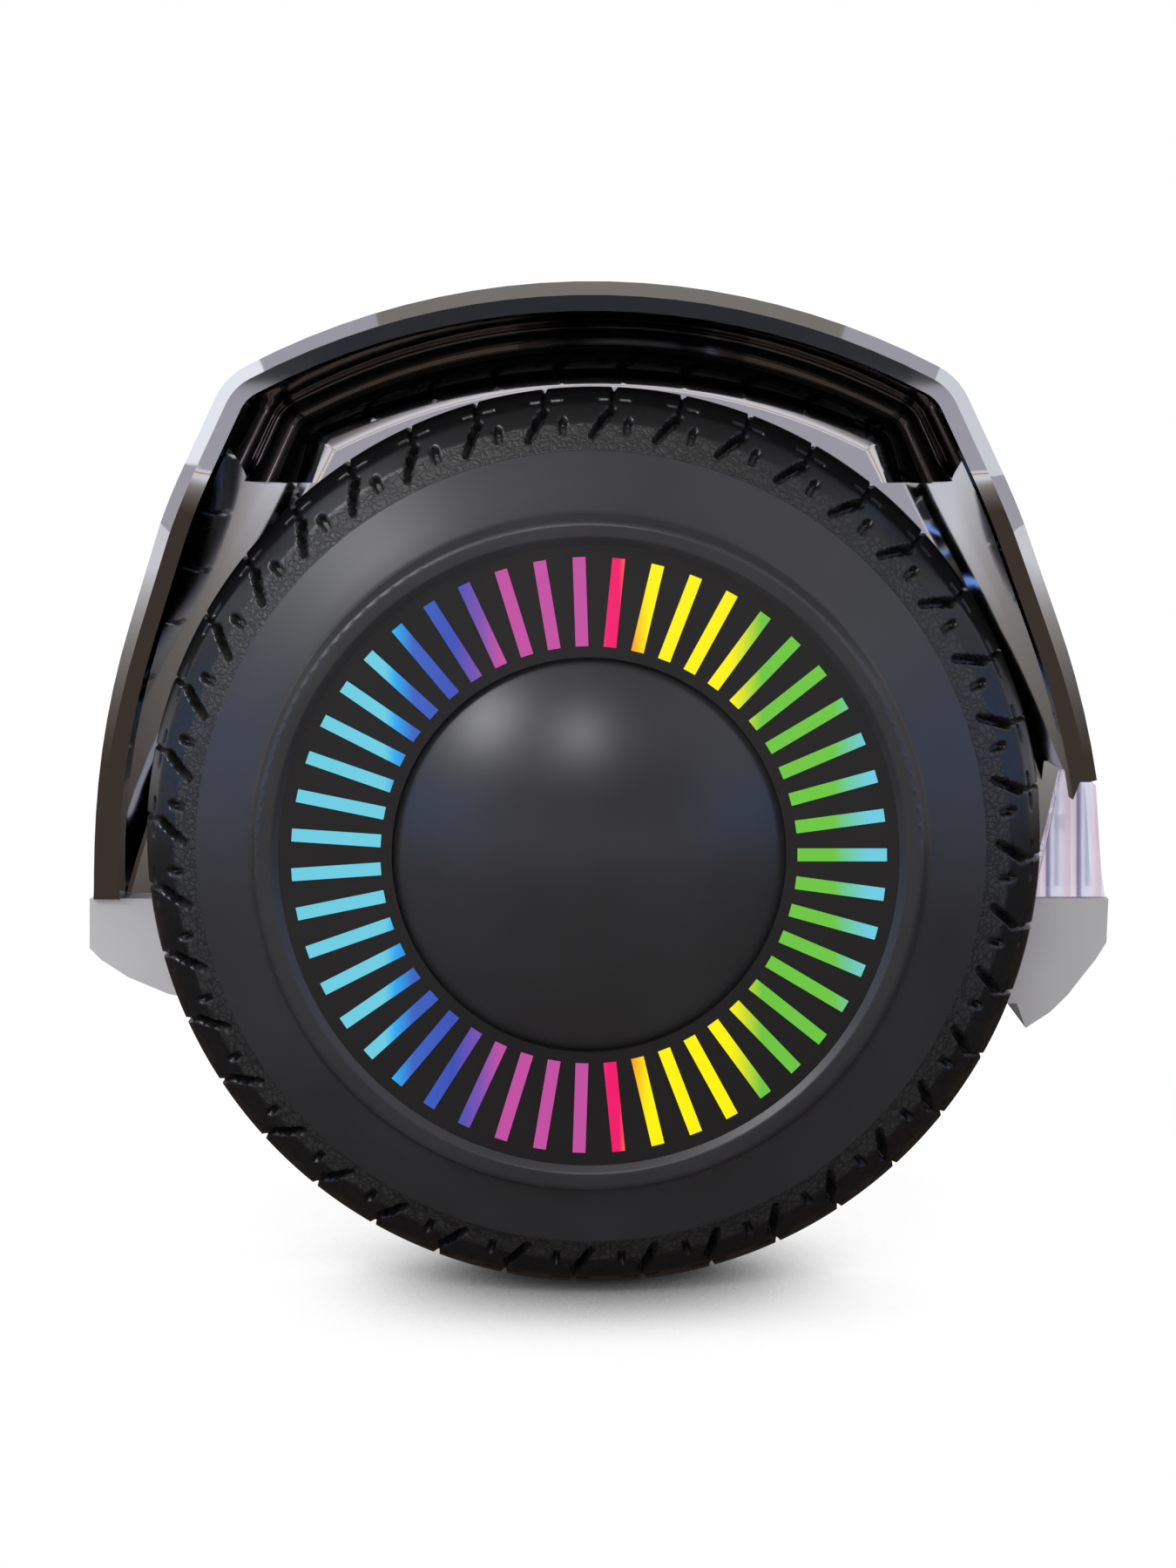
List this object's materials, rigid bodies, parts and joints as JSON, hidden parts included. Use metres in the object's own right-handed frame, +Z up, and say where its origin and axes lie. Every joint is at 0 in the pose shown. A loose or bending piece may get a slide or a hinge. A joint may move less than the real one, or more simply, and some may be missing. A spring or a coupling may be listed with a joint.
{
  "type": "self balancing hoverboard",
  "caption": "Two-wheeled self balancing board: mirrored halves twist on a central pivot, with chrome fenders over hub-motor wheels with lit faces.",
  "frame": {"origin": "on the floor, midway between the two wheels", "axes": "+X along the wheels' shared axis to the left wheel, +Z up, the rider faces -Y"},
  "size_m": [0.604, 0.2056, 0.1825],
  "materials": {
    "chrome_shell": "polished",
    "charcoal_plastic": "matte",
    "grey_bumper": "matte",
    "clear_lens": "gloss",
    "reflector": "gloss",
    "black_rubber": "matte",
    "indicator": "gloss",
    "cast_aluminium": "satin",
    "steel": "satin",
    "core_steel": "satin",
    "copper_wire": "gloss",
    "magnet": "satin",
    "dark_aluminium": "satin",
    "bronze": "satin",
    "tyre_rubber": "matte",
    "charcoal_trim": "satin",
    "black_face": "satin",
    "light_bar": "gloss",
    "circuit_board": "satin",
    "black_dome": "satin",
    "cell_can": "satin",
    "button_plastic": "satin"
  },
  "bodies": {
    "left_half": {"left_top_cover": "chrome_shell", "left_bottom_cover": "charcoal_plastic", "left_front_bumper": "grey_bumper", "left_rear_bumper": "grey_bumper", "left_headlight_lens": "clear_lens", "left_headlight_housing": "reflector", "left_indicator_lens": "indicator", "left_frame": "cast_aluminium", "left_axle_clamp": "cast_aluminium", "left_screws": "steel", "left_axle": "steel", "left_stator": "core_steel", "left_windings": "copper_wire", "left_sensor_board": "circuit_board", "pivot_tube": "steel", "retaining_ring": "steel", "centre_seal": "black_rubber", "battery_cells": "cell_can", "battery_case": "charcoal_plastic"},
    "right_half": {"right_top_cover": "chrome_shell", "right_bottom_cover": "charcoal_plastic", "right_front_bumper": "grey_bumper", "right_rear_bumper": "grey_bumper", "right_headlight_lens": "clear_lens", "right_headlight_housing": "reflector", "right_indicator_lens": "indicator", "right_frame": "cast_aluminium", "right_axle_clamp": "cast_aluminium", "right_screws": "steel", "right_axle": "steel", "right_stator": "core_steel", "right_windings": "copper_wire", "right_sensor_board": "circuit_board", "pivot_bush": "bronze", "control_board": "circuit_board", "charge_socket": "button_plastic"},
    "left_wheel": {"left_magnets": "magnet", "left_rim": "dark_aluminium", "left_motor_cover": "cast_aluminium", "left_bearings": "steel", "left_tyre": "tyre_rubber", "left_wheel_cover": "charcoal_trim", "left_light_face": "black_face", "left_light_bars": "light_bar", "left_light_board": "circuit_board", "left_hub_cap": "black_dome"},
    "right_wheel": {"right_magnets": "magnet", "right_rim": "dark_aluminium", "right_motor_cover": "cast_aluminium", "right_bearings": "steel", "right_tyre": "tyre_rubber", "right_wheel_cover": "charcoal_trim", "right_light_face": "black_face", "right_light_bars": "light_bar", "right_light_board": "circuit_board", "right_hub_cap": "black_dome"},
    "left_pad": {"left_foot_pad": "black_rubber"},
    "right_pad": {"right_foot_pad": "black_rubber"},
    "power_button": {"power_button": "button_plastic"},
    "charge_cap": {"charge_cap": "black_rubber"}
  },
  "joints": [
    {"name": "board_twist", "type": "hinge", "parent": "left_half", "child": "right_half", "pos_m": [0, 0, 0.0825], "axis": [1, 0, 0], "range_deg": [-12, 12]},
    {"name": "left_wheel_spin", "type": "hinge", "parent": "left_half", "child": "left_wheel", "pos_m": [0.262, 0, 0.0825], "axis": [1, 0, 0], "continuous": true},
    {"name": "right_wheel_spin", "type": "hinge", "parent": "right_half", "child": "right_wheel", "pos_m": [-0.262, 0, 0.0825], "axis": [1, 0, 0], "continuous": true},
    {"name": "left_pad_press", "type": "slide", "parent": "left_half", "child": "left_pad", "axis": [0, 0, -1], "range_m": [0, 0.0015], "stiffness_N_per_m": 8000, "springref_m": -0.0005},
    {"name": "right_pad_press", "type": "slide", "parent": "right_half", "child": "right_pad", "axis": [0, 0, -1], "range_m": [0, 0.0015], "stiffness_N_per_m": 8000, "springref_m": -0.0005},
    {"name": "power_button_press", "type": "slide", "parent": "right_half", "child": "power_button", "axis": [0, -1, 0], "range_m": [0, 0.0015], "stiffness_N_per_m": 1500, "springref_m": -0.0004},
    {"name": "charge_cap_open", "type": "hinge", "parent": "right_half", "child": "charge_cap", "pos_m": [-0.104, 0.0994, 0.0664], "axis": [-1, 0, 0], "range_deg": [0, 110]}
  ]
}
